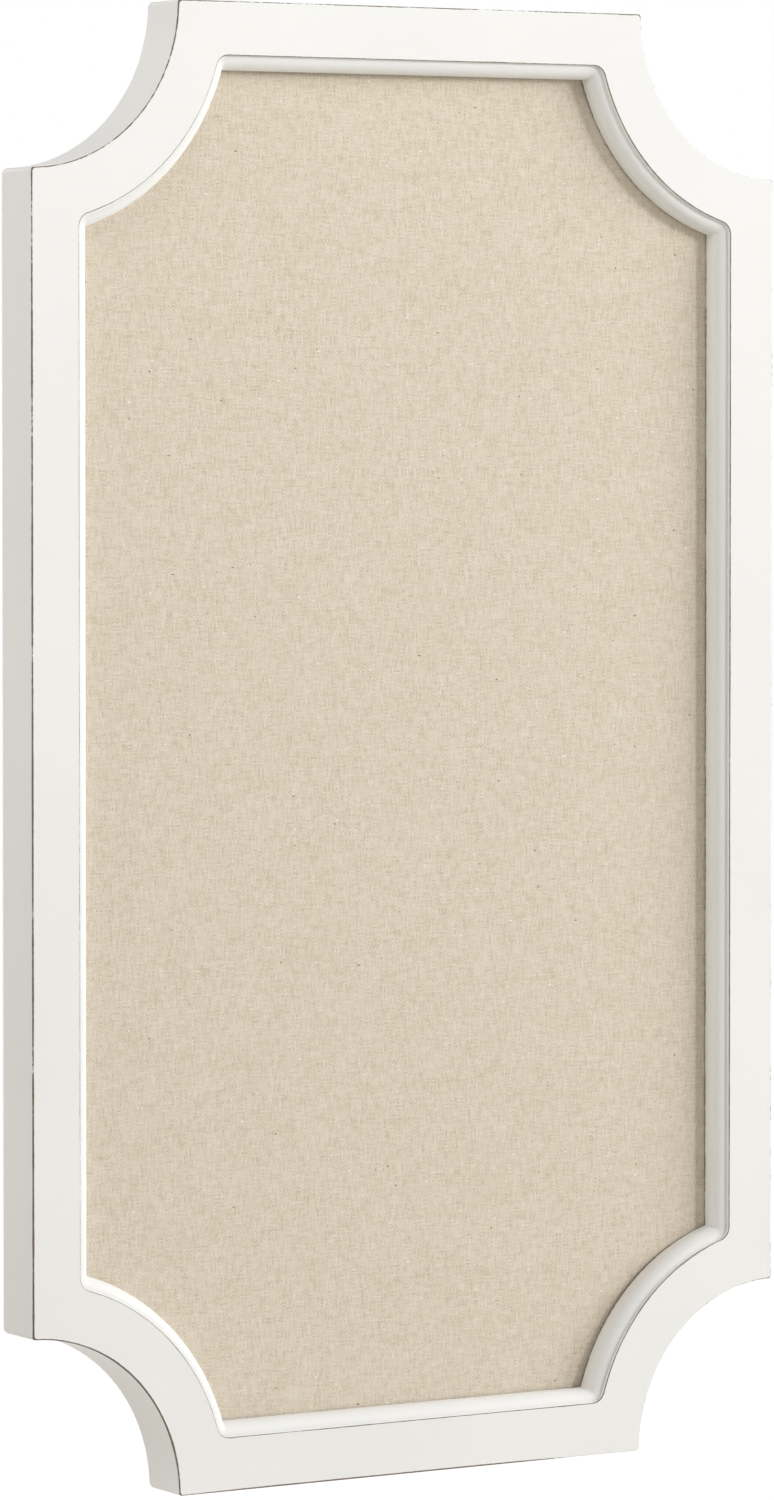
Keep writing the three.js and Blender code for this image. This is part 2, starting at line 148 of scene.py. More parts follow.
class BoardColours(bpy.types.PropertyGroup):
    """Colours of the finishes."""

    paint: tint("Paint", (0.858, 0.86, 0.845), "White paint of the frame")
    rubbed: tint("Rubbed wood", (0.19, 0.155, 0.12), "Wood that shows where the paint is rubbed off")
    linen: tint("Linen", (0.735, 0.653, 0.532), "Middle tone of the cloth")
    pale_thread: tint("Pale thread", (0.83, 0.772, 0.678), "Bleached threads")
    dark_thread: tint("Dark thread", (0.56, 0.465, 0.345), "Unbleached threads")
    fibreboard: tint("Fibreboard", (0.45, 0.32, 0.17), "Soft core")
    hardboard: tint("Hardboard", (0.165, 0.085, 0.042), "Backing board")
    beech: tint("Beech", (0.60, 0.39, 0.20), "Dowels")
    zinc: tint("Zinc", (0.47, 0.48, 0.49), "Plated steel")
    rubber: tint("Rubber", (0.24, 0.235, 0.225), "Bumpers")


# Finishes


class Finish:
    """A material being put together, with short ways to add its nodes."""

    def __init__(self, name):
        self.material = bpy.data.materials.new(name)
        self.material.use_nodes = True
        self.tree = self.material.node_tree
        self.shader = self.tree.nodes["Principled BSDF"]
        self.place = self.tree.nodes.new("ShaderNodeTexCoord").outputs["Object"]

    def add(self, kind, inputs, **settings):
        """Adds a node. Inputs are given by name or number, as a socket to link or a constant."""
        node = self.tree.nodes.new("ShaderNode" + kind)
        for name, value in settings.items():
            setattr(node, name, value)
        for name, value in inputs.items():
            if isinstance(value, bpy.types.NodeSocket):
                self.tree.links.new(value, node.inputs[name])
            else:
                node.inputs[name].default_value = value
        return node

    def stretched(self, scale):
        """Object coordinates times a scale along each axis."""
        return self.add("Mapping", {"Vector": self.place, "Scale": scale}).outputs["Vector"]

    def noise(self, place, scale=1.0, detail=2.0, roughness=0.5):
        inputs = {"Vector": place, "Scale": scale, "Detail": detail, "Roughness": roughness}
        return self.add("TexNoise", inputs).outputs["Fac"]

    def math(self, operation, first, second=0.0, third=0.0):
        return self.add("Math", {0: first, 1: second, 2: third}, operation=operation).outputs[0]

    def centred(self, noise):
        """A noise moved down by its middle value, so that it swings round zero."""
        return self.math("SUBTRACT", noise, 0.5)

    def span(self, value, low, high, to_low=0.0, to_high=1.0, smooth=True):
        """Maps low to high onto to_low to to_high, held at both ends."""
        inputs = {"Value": value, "From Min": low, "From Max": high, "To Min": to_low, "To Max": to_high}
        kind = "SMOOTHSTEP" if smooth else "LINEAR"
        return self.add("MapRange", inputs, interpolation_type=kind).outputs["Result"]

    def blend(self, share, first, second, kind="MIX"):
        """Mixes two colours, each a socket or red, green and blue."""
        node = self.tree.nodes.new("ShaderNodeMix")
        node.data_type = "RGBA"
        node.blend_type = kind
        factor, start, end = node.inputs[0], node.inputs[6], node.inputs[7]
        for socket, value in ((factor, share), (start, first), (end, second)):
            if isinstance(value, bpy.types.NodeSocket):
                self.tree.links.new(value, socket)
            elif socket == factor:
                socket.default_value = value
            else:
                socket.default_value = (*value, 1.0)
        return node.outputs[2]

    def attribute(self, name):
        return self.add("Attribute", {}, attribute_name=name).outputs["Fac"]

    def bump(self, height, distance, strength):
        inputs = {"Height": height, "Distance": distance, "Strength": strength}
        return self.add("Bump", inputs).outputs["Normal"]

    def set(self, **inputs):
        """Sets or links inputs of the shader, named with _ for a space."""
        for name, value in inputs.items():
            socket = self.shader.inputs[name.replace("_", " ")]
            if isinstance(value, bpy.types.NodeSocket):
                self.tree.links.new(value, socket)
            elif socket.type == "RGBA":
                socket.default_value = (*value, 1.0)
            else:
                socket.default_value = value
        return self.material


def worn_edges(f):
    """How much more the outer arris is rubbed from place to place.

    The left side and its scallops are worn, more so towards the foot, and so are the top edge and
    a stretch of the bottom edge, a little left of its middle.
    """
    axes = f.add("SeparateXYZ", {"Vector": f.place}).outputs
    scallop_end = cad_low.x + 86 * MM
    left_part = f.span(axes["X"], scallop_end + 2 * MM, scallop_end - 2 * MM)
    downwards = f.span(axes["Z"], cad_high.z, cad_low.z, 0.55, 1.4, smooth=False)
    top_part = f.span(axes["Z"], cad_high.z - 3 * MM, cad_high.z - 1 * MM, 0, 0.6)
    off_middle = f.math("ABSOLUTE", f.math("ADD", axes["X"], 20 * MM))
    middle_part = f.span(off_middle, 130 * MM, 60 * MM, 0, 3)
    bottom_part = f.span(axes["Z"], cad_low.z + 3 * MM, cad_low.z + 1 * MM)
    bottom_part = f.math("MULTIPLY", bottom_part, middle_part)
    worn = f.math("MAXIMUM", f.math("MULTIPLY", left_part, downwards), top_part)
    return f.math("MAXIMUM", worn, bottom_part)


def rubbed_paint(colours):
    """Satin white paint, rubbed through to the wood along the arrises, with painted shade in the moulding's
    corners.
    """
    f = Finish("rubbed_white_paint")
    rub = f.math("MULTIPLY_ADD", f.attribute("worn"), worn_edges(f), f.attribute("rubbed"))
    coarse = f.noise(f.place, scale=38, detail=3, roughness=0.6)
    fine = f.noise(f.place, scale=420, detail=3, roughness=0.65)
    uneven = f.math("MULTIPLY_ADD", f.centred(coarse), 1.1, rub)
    uneven = f.math("MULTIPLY_ADD", f.centred(fine), 0.9, uneven)
    through = f.math("MULTIPLY", f.span(uneven, 0.48, 0.78), f.span(rub, 0.02, 0.3))
    cloudy = f.span(f.noise(f.place, scale=9, detail=2), 0.3, 0.7, 0.975, 1.0)
    paint = f.blend(1.0, tuple(colours.paint), cloudy, "MULTIPLY")
    # Painted shade, partly grime: the paint darkens to a warm grey where the section's rows ask for it, in
    # the step's corner and at the lip's foot.
    soiled_and_shaded = tuple(c * k for c, k in zip(colours.paint, (0.80, 0.765, 0.71)))
    paint = f.blend(f.attribute("shade_and_grime"), paint, soiled_and_shaded)
    colour = f.blend(through, paint, tuple(colours.rubbed))
    sprayed = f.noise(f.place, scale=900, detail=2)
    brushed = f.noise(f.stretched((240, 240, 30)), detail=2)
    height = f.math("ADD", f.math("MULTIPLY", sprayed, 0.5), brushed)
    height = f.math("SUBTRACT", height, f.math("MULTIPLY", through, 1.5))
    return f.set(
        Base_Color=colour,
        Roughness=f.span(through, 0, 1, 0.48, 0.75),
        Normal=f.bump(height, 0.04 * MM, 0.5),
        Specular_IOR_Level=0.28,
    )


def woven_linen(colours):
    """Plain weave of uneven threads, with slubs, dark flecks and rust-coloured specks."""
    f = Finish("natural_linen")
    axes = f.add("SeparateXYZ", {"Vector": f.place}).outputs
    wander = 1.1 * MM
    warp_pitch = 1.15 * MM
    weft_pitch = 0.95 * MM
    wander_x = f.centred(f.noise(f.stretched((30, 0, 120)), detail=1))
    wander_z = f.centred(f.noise(f.stretched((120, 0, 30)), detail=1))
    warp = f.math("DIVIDE", f.math("MULTIPLY_ADD", wander_x, wander, axes["X"]), warp_pitch)
    weft = f.math("DIVIDE", f.math("MULTIPLY_ADD", wander_z, wander, axes["Z"]), weft_pitch)
    warp_index = f.math("FLOOR", warp)
    weft_index = f.math("FLOOR", weft)
    warp_round = f.math("SINE", f.math("MULTIPLY", f.math("FRACT", warp), math.pi))
    weft_round = f.math("SINE", f.math("MULTIPLY", f.math("FRACT", weft), math.pi))
    over = f.math("MODULO", f.math("ABSOLUTE", f.math("ADD", warp_index, weft_index)), 2.0)

    def thread_tone(index, run, seed):
        """A tone that differs from thread to thread and drifts along each."""
        apart, drift = 7.31, 130.0
        inputs = {"X": f.math("MULTIPLY", index, apart), "Y": f.math("MULTIPLY", run, drift), "Z": seed}
        spot = f.add("CombineXYZ", inputs).outputs["Vector"]
        return f.noise(spot, detail=3, roughness=0.62)

    warp_tone = thread_tone(warp_index, axes["Z"], 3.1)
    weft_tone = thread_tone(weft_index, axes["X"], 8.7)
    tone = f.add("Mix", {0: over, 2: weft_tone, 3: warp_tone}).outputs[0]
    across_share, along_share, cloud_share = 0.6, 1.3, 0.25
    streak_across = f.noise(f.stretched((200, 0, 1100)), detail=3, roughness=0.6)
    streak_along = f.noise(f.stretched((1300, 0, 110)), detail=3, roughness=0.65)
    clouds = f.noise(f.place, scale=45, detail=3, roughness=0.6)
    streaks = f.math("MULTIPLY", streak_across, across_share)
    streaks = f.math("MULTIPLY_ADD", streak_along, along_share, streaks)
    streaks = f.math("MULTIPLY_ADD", clouds, cloud_share, streaks)
    mean_streak = (across_share + along_share + cloud_share) / 2
    tone = f.math("MULTIPLY_ADD", f.math("SUBTRACT", streaks, mean_streak), 0.4, tone)
    pale = f.blend(f.span(tone, 0.50, 0.80, smooth=False), tuple(colours.linen), tuple(colours.pale_thread))
    cloth = f.blend(f.span(tone, 0.50, 0.18, smooth=False), pale, tuple(colours.dark_thread))

    def flecked(under, colour, scale, reach, share, seed):
        """Sparse specks over a colour, one near the middle of a share of the cells."""
        spot = f.add("Mapping", {"Vector": f.place, "Location": (seed, 0, seed), "Scale": scale})
        cells = f.add("TexVoronoi", {"Vector": spot.outputs["Vector"], "Scale": 1.0})
        chosen = f.add("SeparateColor", {"Color": cells.outputs["Color"]}).outputs["Red"]
        near = f.span(cells.outputs["Distance"], reach, reach * 0.45)
        mask = f.math("MULTIPLY", near, f.math("LESS_THAN", chosen, share))
        return f.blend(mask, under, colour)

    bark, rust, bleached = (0.27, 0.19, 0.12), (0.40, 0.21, 0.10), (0.90, 0.86, 0.79)
    cloth = flecked(cloth, bark, scale=(80, 0, 160), reach=0.08, share=0.25, seed=0.3)
    cloth = flecked(cloth, rust, scale=(60, 0, 60), reach=0.045, share=0.30, seed=1.7)
    cloth = flecked(cloth, bleached, scale=(90, 0, 170), reach=0.10, share=0.35, seed=2.9)
    height = f.add("Mix", {0: over, 2: weft_round, 3: warp_round}).outputs[0]
    height = f.math("MULTIPLY_ADD", f.centred(tone), 1.6, height)
    return f.set(
        Base_Color=cloth,
        Roughness=0.92,
        Normal=f.bump(height, 0.16 * MM, 0.7),
        Specular_IOR_Level=0.15,
        Sheen_Weight=0.08,
        Sheen_Roughness=0.5,
    )


def pressed_hardboard(colours):
    """Dark hardboard, smooth, with pressed fibres and a faint wax bloom."""
    f = Finish("pressed_hardboard")
    fibres = f.noise(f.place, scale=850, detail=5, roughness=0.7)
    clumps = f.noise(f.place, scale=160, detail=3, roughness=0.6)
    mottle = f.noise(f.place, scale=30, detail=4)
    tone = f.math("MULTIPLY_ADD", clumps, 0.25, f.math("MULTIPLY_ADD", mottle, 0.15, fibres))
    dark = tuple(c * 0.78 for c in colours.hardboard)
    pale = tuple(min(c * 1.35, 1) for c in colours.hardboard)
    return f.set(
        Base_Color=f.blend(f.span(tone, 0.52, 0.88), dark, pale),
        Roughness=f.span(mottle, 0.3, 0.7, 0.55, 0.68),
        Normal=f.bump(fibres, 0.06 * MM, 0.5),
    )


def soft_fibreboard(colours):
    """Felted wood fibre of the pinning core."""
    f = Finish("soft_fibreboard")
    felt = f.noise(f.place, scale=700, detail=5, roughness=0.7)
    clumps = f.noise(f.place, scale=60, detail=3)
    tone = f.math("ADD", felt, f.math("MULTIPLY", clumps, 0.4))
    dark = tuple(c * 0.6 for c in colours.fibreboard)
    pale = tuple(min(c * 1.3, 1) for c in colours.fibreboard)
    return f.set(
        Base_Color=f.blend(f.span(tone, 0.45, 0.95), dark, pale),
        Roughness=0.95,
        Normal=f.bump(felt, 0.3 * MM, 0.7),
    )


def turned_beech(colours, stretch, name):
    """Beech with its short flecks lying along the dowel."""
    f = Finish(name)
    grain = f.noise(f.stretched(stretch), detail=4, roughness=0.6)
    flecks = f.span(f.noise(f.stretched(stretch), scale=3.0, detail=1), 0.62, 0.72)
    dark = tuple(c * 0.72 for c in colours.beech)
    wood = f.blend(f.span(grain, 0.35, 0.65), tuple(colours.beech), dark)
    return f.set(
        Base_Color=f.blend(flecks, wood, tuple(c * 0.5 for c in colours.beech)),
        Roughness=0.6,
        Normal=f.bump(grain, 0.05 * MM, 0.5),
    )


def zinc_plate(colours):
    """Bright zinc plating with soft clouding and fine drawing marks."""
    f = Finish("zinc_plate")
    cloud = f.noise(f.place, scale=140, detail=4)
    marks = f.noise(f.stretched((3500, 3500, 500)), detail=2)
    dark = tuple(c * 0.91 for c in colours.zinc)
    return f.set(
        Base_Color=f.blend(f.span(cloud, 0.3, 0.7), dark, tuple(colours.zinc)),
        Metallic=1.0,
        Roughness=f.span(cloud, 0.3, 0.7, 0.30, 0.46),
        Normal=f.bump(marks, 0.01 * MM, 0.4),
    )


def bumper_rubber(colours):
    """Grey rubber with a dusty bloom."""
    f = Finish("bumper_rubber")
    dust = f.noise(f.place, scale=500, detail=4, roughness=0.6)
    pale = tuple(min(c * 1.35, 1) for c in colours.rubber)
    return f.set(
        Base_Color=f.blend(f.span(dust, 0.4, 0.7), tuple(colours.rubber), pale),
        Roughness=f.span(dust, 0.3, 0.7, 0.62, 0.8),
        Normal=f.bump(dust, 0.06 * MM, 0.4),
    )


def finish_node(name, material):
    """Gives a CAD node's object one material on all its faces."""
    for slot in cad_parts[name].material_slots:
        slot.material = material


# Shapes


def add_piece(name, mesh_data, material, body, smooth_angle=35):
    """Turns a finished bmesh into a piece that rides on a body."""
    bmesh.ops.recalc_face_normals(mesh_data, faces=mesh_data.faces)
    mesh = bpy.data.meshes.new(name)
    mesh_data.to_mesh(mesh)
    mesh_data.free()
    mesh.shade_smooth()
    mesh.set_sharp_from_angle(angle=math.radians(smooth_angle))
    mesh.materials.append(material)
    piece = bpy.data.objects.new(name, mesh)
    bpy.context.scene.collection.objects.link(piece)
    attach(piece, body)
    return piece


def even_normals(piece):
    """Keeps large flat faces flat beside small roundings."""
    modifier = piece.modifiers.new("even_normals", "WEIGHTED_NORMAL")
    modifier.keep_sharp = True


def drawn_to(mesh_data, vert, place):
    """Extrudes a vertex to a place and returns the new one."""
    made = bmesh.ops.extrude_vert_indiv(mesh_data, verts=[vert])["verts"][0]
    made.co = place
    return made


def turned_profile(mesh_data, places, axis, steps):
    """Joins places to an open line, and turns it all round an axis through the origin."""
    verts = [mesh_data.verts.new(place) for place in places]
    edges = [mesh_data.edges.new(pair) for pair in zip(verts, verts[1:])]
    bmesh.ops.spin(
        mesh_data,
        geom=verts + edges,
        cent=(0, 0, 0),
        axis=axis,
        angle=2 * math.pi,
        steps=steps,
        use_merge=True,
    )
    bmesh.ops.remove_doubles(mesh_data, verts=mesh_data.verts, dist=MERGE)


def scalloped_loop(mesh_data, sizes, inset, depth, rounding):
    """One closed line that runs parallel to the board's outline, centred on it. Returns its edges.

    It starts as a vertex on the board's middle and is drawn round the top right corner: along the
    rail, round the point, along the scallop, round the next point and down the stile. Mirroring
    it twice closes it.
    """
    half_width = (cad_high.x - cad_low.x) / 2
    half_height = (cad_high.z - cad_low.z) / 2

    def at(across, down):
        return Vector((half_width - across, depth, half_height - down))

    reach = inset + rounding
    run = math.sqrt((sizes.scallop_radius + reach) ** 2 - reach**2)
    lean = math.atan2(reach, run)
    known = set(mesh_data.verts)

    def turned(vert, centre, angle, steps):
        made = bmesh.ops.spin(
            mesh_data, geom=[vert], cent=centre, axis=(0, -1, 0), angle=angle, steps=steps
        )
        return made["geom_last"][0]

    last = mesh_data.verts.new(at(half_width, inset))
    last = drawn_to(mesh_data, last, at(run, inset))
    last = turned(last, at(run, reach), lean - math.pi / 2, sizes.tip_steps)
    last = turned(last, at(0, 0), math.pi / 2 - 2 * lean, sizes.arc_steps)
    last = turned(last, at(reach, run), lean - math.pi / 2, sizes.tip_steps)
    drawn_to(mesh_data, last, at(inset, half_height))
    for axis in "XZ":
        drawn = [v for v in mesh_data.verts if v not in known]
        edges = {e for v in drawn for e in v.link_edges}
        bmesh.ops.mirror(mesh_data, geom=drawn + list(edges), merge_dist=MERGE, axis=axis)
    drawn = [v for v in mesh_data.verts if v not in known]
    return list({e for v in drawn for e in v.link_edges})


def swept_section(mesh_data, sizes, section, layers=(), closed=False):
    """Draws a line for each row of a section and joins each to the next. Returns the lines' edges.

    A row is (inset, depth, rounding) and one value for each named layer. The lines are drawn one
    behind the other, because lines in one plane can be bridged crosswise, and are pushed to their
    own depths afterwards.
    """
    shelves = [mesh_data.verts.layers.float.new(name) for name in layers]
    loops = [
        scalloped_loop(mesh_data, sizes, inset, number * MM, rounding)
        for number, (inset, depth, rounding, *values) in enumerate(section)
    ]
    following = loops[1:] + loops[:1] if closed else loops[1:]
    for first, second in zip(loops, following):
        bmesh.ops.bridge_loops(mesh_data, edges=first + second)
    for loop, (inset, depth, rounding, *values) in zip(loops, section):
        for vert in {v for e in loop for v in e.verts}:
            vert.co.y = depth
            for shelf, value in zip(shelves, values):
                vert[shelf] = value
    bmesh.ops.translate(mesh_data, verts=mesh_data.verts, vec=front_middle())
    return loops


def front_middle():
    """Middle of the frame's front face."""
    return Vector(((cad_low.x + cad_high.x) / 2, cad_low.y, (cad_low.z + cad_high.z) / 2))


def quarter(centre, radius, start, steps):
    """Places (inset, depth) on a quarter turn that starts at an angle in degrees."""
    places = []
    for i in range(steps + 1):
        angle = math.radians(start + 90 * i / steps)
        places.append((centre[0] + radius * math.cos(angle), centre[1] + radius * math.sin(angle)))
    return places


def frame_section(s):
    """Rows of the frame's section, from the outer back edge round the front to the rabbet.

    Each row ends with how far it is rubbed, how much more where the frame is worn, and how much painted
    shade and grime it has.
    """
    arris = s.arris_radius
    step_foot = s.face_width + s.step_width
    opening = step_foot + s.round_radius
    rabbet = opening - s.lip_width
    least_rounding = 0.25 * MM
    rows = []

    def outside(inset, depth, rubbed=0.0, worn=0.0):
        share = depth / s.depth
        tip = s.front_tip_radius * (1 - share) + s.back_tip_radius * share + inset
        rows.append((inset, depth, tip, rubbed, worn, 0.0))

    def moulded(inset, depth, rubbed=0.0, shade_and_grime=0.0):
        rows.append((inset, depth, max(opening - inset, least_rounding), rubbed, 0.0, shade_and_grime))

    for inset, depth in quarter((s.back_radius, s.depth - s.back_radius), s.back_radius, 90, 6):
        outside(inset, depth)
    outside(0, s.depth * 0.6)
    outside(0, 5 * arris)
    outside(0, 3 * arris, 0, 0.1)
    outside(0, 1.9 * arris, 0.2, 0.5)
    for inset, depth in quarter((arris, arris), arris, 180, 4):
        outside(inset, depth, 0.5, 0.4)
    outside(1.6 * arris, 0, 0.1, 0.4)
    outside(2.4 * arris, 0, 0, 0.1)
    outside(4 * arris, 0)
    moulded(s.face_width - 3 * arris, 0)
    moulded(s.face_width - 1.4 * arris, 0, 0.2)
    # The arris above the step is sharper than the outer one, and its wear ends just below it.
    inner, wear_fades, wear_ends = 0.7 * arris, 0.12 * MM, 0.3 * MM
    crest = quarter((s.face_width - inner, inner), inner, 270, 4)
    for (inset, depth), rubbed in zip(crest, (0.8, 1, 1, 1, 1)):
        moulded(inset, depth, rubbed)
    moulded(s.face_width, inner + wear_fades, 0.9)
    moulded(s.face_width, inner + wear_ends)
    moulded(s.face_width, s.step_depth - inner)
    # A faint warm darkening in the corner at the step's foot is painted shade.
    hollow = quarter((s.face_width + inner, s.step_depth - inner), inner, 90, 3)
    for inset, depth in reversed(hollow[:-1]):
        moulded(inset, depth, 0, 0.04)
    flat_end = step_foot - 0.2 * MM
    moulded(flat_end, s.step_depth)
    for inset, depth in quarter((step_foot, s.step_depth + s.round_radius), s.round_radius, 270, 12):
        moulded(inset, depth)
    wall_end = s.lip_depth - s.lip_edge
    # A thin dark brown line at the lip's foot beside the cloth: partly rubbed paint, partly painted shade
    # of the gap between lip and cloth.
    moulded(opening, wall_end - 3 * s.lip_edge, 0, 0.1)
    moulded(opening, wall_end - 1.25 * s.lip_edge, 0.5, 0.5)
    for inset, depth in quarter((opening - s.lip_edge, wall_end), s.lip_edge, 0, 3):
        moulded(inset, depth, 0.8, 0.5)
    moulded(rabbet, s.lip_depth)
    moulded(rabbet, s.depth - s.lip_edge)
    moulded(rabbet - s.lip_edge, s.depth)
    return rows


# Pieces


class PINBOARD_OT_painted_frame(bpy.types.Operator):
    """Rails, stiles and corner blocks under one unbroken coat of paint"""

    bl_idname = "pinboard.painted_frame"
    bl_label = "Painted frame"

    def execute(self, context):
        sizes = context.scene.pinboard_frame
        mesh_data = bmesh.new()
        layers = ("rubbed", "worn", "shade_and_grime")
        swept_section(mesh_data, sizes, frame_section(sizes), layers, closed=True)
        material = rubbed_paint(context.scene.pinboard_colours)
        piece = add_piece("painted_frame", mesh_data, material, "board", smooth_angle=26)
        even_normals(piece)
        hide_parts(*MEMBERS, *(f"corner_block_{corner}" for corner in CORNERS))
        return {"FINISHED"}


class PINBOARD_OT_linen(bpy.types.Operator):
    """Linen stretched over the core and turned in behind it"""

    bl_idname = "pinboard.linen"
    bl_label = "Linen cover"

    def execute(self, context):
        sizes = context.scene.pinboard_frame
        panel = context.scene.pinboard_panel
        edge = panel.edge_radius
        mesh_data = bmesh.new()
        places = [(panel.inset + panel.turn_in, panel.cover_back)]
        places += quarter((panel.inset + edge, panel.cover_back - edge), edge, 90, 5)
        places += quarter((panel.inset + edge, panel.cover_front + edge), edge, 180, 5)
        rounded = max(sizes.face_width + sizes.step_width + sizes.round_radius - panel.inset, MM)
        loops = swept_section(mesh_data, sizes, [(i, d, rounded) for i, d in places])
        bmesh.ops.contextual_create(mesh_data, geom=loops[-1])
        area = sum(face.calc_area() for face in mesh_data.faces)
        material = woven_linen(context.scene.pinboard_colours)
        piece = add_piece("linen", mesh_data, material, "board")
        even_normals(piece)
        thickness = piece.modifiers.new("thickness", "SOLIDIFY")
        thickness.thickness = panel.cloth
        thickness.offset = -1
        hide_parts("linen_cover")
        return {"FINISHED"}


class PINBOARD_OT_panel(bpy.types.Operator):
    """Pinning core and the hardboard that closes the back"""

    bl_idname = "pinboard.panel"
    bl_label = "Core and backing board"

    def execute(self, context):
        sizes = context.scene.pinboard_frame
        panel = context.scene.pinboard_panel
        colours = context.scene.pinboard_colours
        finish_node("pin_core", soft_fibreboard(colours))
        bevel = panel.backing_bevel
        front = panel.backing_front
        back = front + panel.backing
        places = [
            (panel.inset + bevel, front),
            (panel.inset, front + bevel),
            (panel.inset, back - bevel),
            (panel.inset + bevel, back),
        ]
        mesh_data = bmesh.new()
        loops = swept_section(mesh_data, sizes, [(i, d, panel.backing_tip) for i, d in places])
        bmesh.ops.contextual_create(mesh_data, geom=loops[0])
        bmesh.ops.contextual_create(mesh_data, geom=loops[-1])
        piece = add_piece("hardboard_back", mesh_data, pressed_hardboard(colours), "board")
        even_normals(piece)
        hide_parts("backing_board")
        return {"FINISHED"}


class PINBOARD_OT_fixings(bpy.types.Operator):
    """Dowels in the joints and the steel points that hold the panel"""

    bl_idname = "pinboard.fixings"
    bl_label = "Dowels and points"

    def execute(self, context):
        colours = context.scene.pinboard_colours
        along_rail = turned_beech(colours, (60, 900, 900), "beech_along_rail")
        along_stile = turned_beech(colours, (900, 900, 60), "beech_along_stile")
        zinc = zinc_plate(colours)
        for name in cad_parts:
            if name.startswith("dowel_"):
                finish_node(name, along_rail if "_rail_" in name else along_stile)
            elif name.startswith("retainer_point_"):
                finish_node(name, zinc)
        return {"FINISHED"}


class PINBOARD_OT_hangers(bpy.types.Operator):
    """Straps rolled round their D-rings, and the screws that hold them"""

    bl_idname = "pinboard.hangers"
    bl_label = "Hangers"

    def execute(self, context):
        sizes = context.scene.pinboard_hangers
        zinc = zinc_plate(context.scene.pinboard_colours)
        for side in SIDES:
            low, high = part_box(f"hanger_ring_{side}")
            wire = sizes.wire_radius
            hinge = Vector(((low.x + high.x) / 2, (low.y + high.y) / 2, high.z - wire))
            screws = [f"hanger_screw_{side}_{place}" for place in ("upper", "lower")]
            self.add_strap(sizes, side, hinge, screws, zinc)
            half_width = (high.x - low.x) / 2 - wire
            mesh_data = self.ring(sizes, half_width, hinge.z - low.z - wire - half_width)
            bmesh.ops.translate(mesh_data, verts=mesh_data.verts, vec=hinge)
            piece = add_piece(f"ring_{side}", mesh_data, zinc, f"{side}_ring", smooth_angle=60)
            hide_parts(f"hanger_ring_{side}")
            for node in screws:
                self.add_screw(sizes, node, zinc)
        return {"FINISHED"}

    def add_strap(self, sizes, side, hinge, screws, material):
        """Middle surface of the strap, thickened: a plate with a round end, rolled at the top."""
        node = f"hanger_strap_{side}"
        low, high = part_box(node)
        half_width = (high.x - low.x) / 2
        middle = high.z - hinge.z - sizes.strap / 2
        end = hinge.z - low.z - half_width
        mesh_data = bmesh.new()
        first = mesh_data.verts.new((half_width, -middle, 0))
        last = drawn_to(mesh_data, first, (half_width, -middle, -end))
        last = bmesh.ops.spin(
            mesh_data, geom=[last], cent=(0, -middle, -end), axis=(0, 1, 0), angle=math.pi, steps=24
        )["geom_last"][0]
        last = drawn_to(mesh_data, last, (-half_width, -middle, 0))
        top = mesh_data.edges.new((last, first))
        for screw in screws:
            low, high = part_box(screw)
            drop = (low.z + high.z) / 2 - hinge.z
            place = Matrix.Translation((0, -middle, drop)) @ Matrix.Rotation(math.pi / 2, 4, "X")
            bmesh.ops.create_circle(mesh_data, segments=24, radius=sizes.hole_radius, matrix=place)
        bmesh.ops.triangle_fill(mesh_data, use_beauty=True, edges=mesh_data.edges)
        bmesh.ops.spin(
            mesh_data,
            geom=[first, last, top],
            cent=(0, 0, 0),
            axis=(-1, 0, 0),
            angle=math.radians(sizes.curl_sweep),
            steps=28,
        )
        bmesh.ops.remove_doubles(mesh_data, verts=mesh_data.verts, dist=MERGE)
        bmesh.ops.translate(mesh_data, verts=mesh_data.verts, vec=hinge)
        piece = add_piece(f"strap_{side}", mesh_data, material, "board")
        thickness = piece.modifiers.new("thickness", "SOLIDIFY")
        thickness.thickness = sizes.strap
        thickness.offset = 0
        rounding = piece.modifiers.new("rounding", "BEVEL")
        rounding.width = sizes.strap_edge
        rounding.segments = 2
        rounding.limit_method = "ANGLE"
        rounding.angle_limit = math.radians(50)
        even_normals(piece)
        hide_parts(node)

    def ring(self, sizes, half_width, drop):
        """Half the wire, from the middle of the bar to the foot of the loop, and its mirror image."""
        mesh_data = bmesh.new()
        bend = sizes.bend_radius
        across = Matrix.Rotation(math.pi / 2, 4, "Y")
        bmesh.ops.create_circle(mesh_data, segments=20, radius=sizes.wire_radius, matrix=across)
        end = mesh_data.edges[:]
        end = self.run(mesh_data, end, (half_width - bend, 0, 0))
        end = self.bent(mesh_data, end, (half_width - bend, 0, -bend), 8)
        end = self.run(mesh_data, end, (0, 0, bend - drop))
        self.bent(mesh_data, end, (0, 0, -drop), 20)
        geometry = mesh_data.verts[:] + mesh_data.edges[:] + mesh_data.faces[:]
        bmesh.ops.mirror(mesh_data, geom=geometry, merge_dist=MERGE, axis="X")
        return mesh_data

    def run(self, mesh_data, end, vec):
        """Carries the wire's end straight on and returns the new end."""
        made = bmesh.ops.extrude_edge_only(mesh_data, edges=end)["geom"]
        verts = {v for v in made if isinstance(v, bmesh.types.BMVert)}
        bmesh.ops.translate(mesh_data, verts=list(verts), vec=vec)
        return [e for e in made if isinstance(e, bmesh.types.BMEdge) and verts.issuperset(e.verts)]

    def bent(self, mesh_data, end, centre, steps):
        """Carries the wire's end through a quarter turn and returns the new end."""
        verts = {v for e in end for v in e.verts}
        made = bmesh.ops.spin(
            mesh_data,
            geom=list(verts) + end,
            cent=centre,
            axis=(0, 1, 0),
            angle=math.pi / 2,
            steps=steps,
        )["geom_last"]
        return [e for e in made if isinstance(e, bmesh.types.BMEdge)]

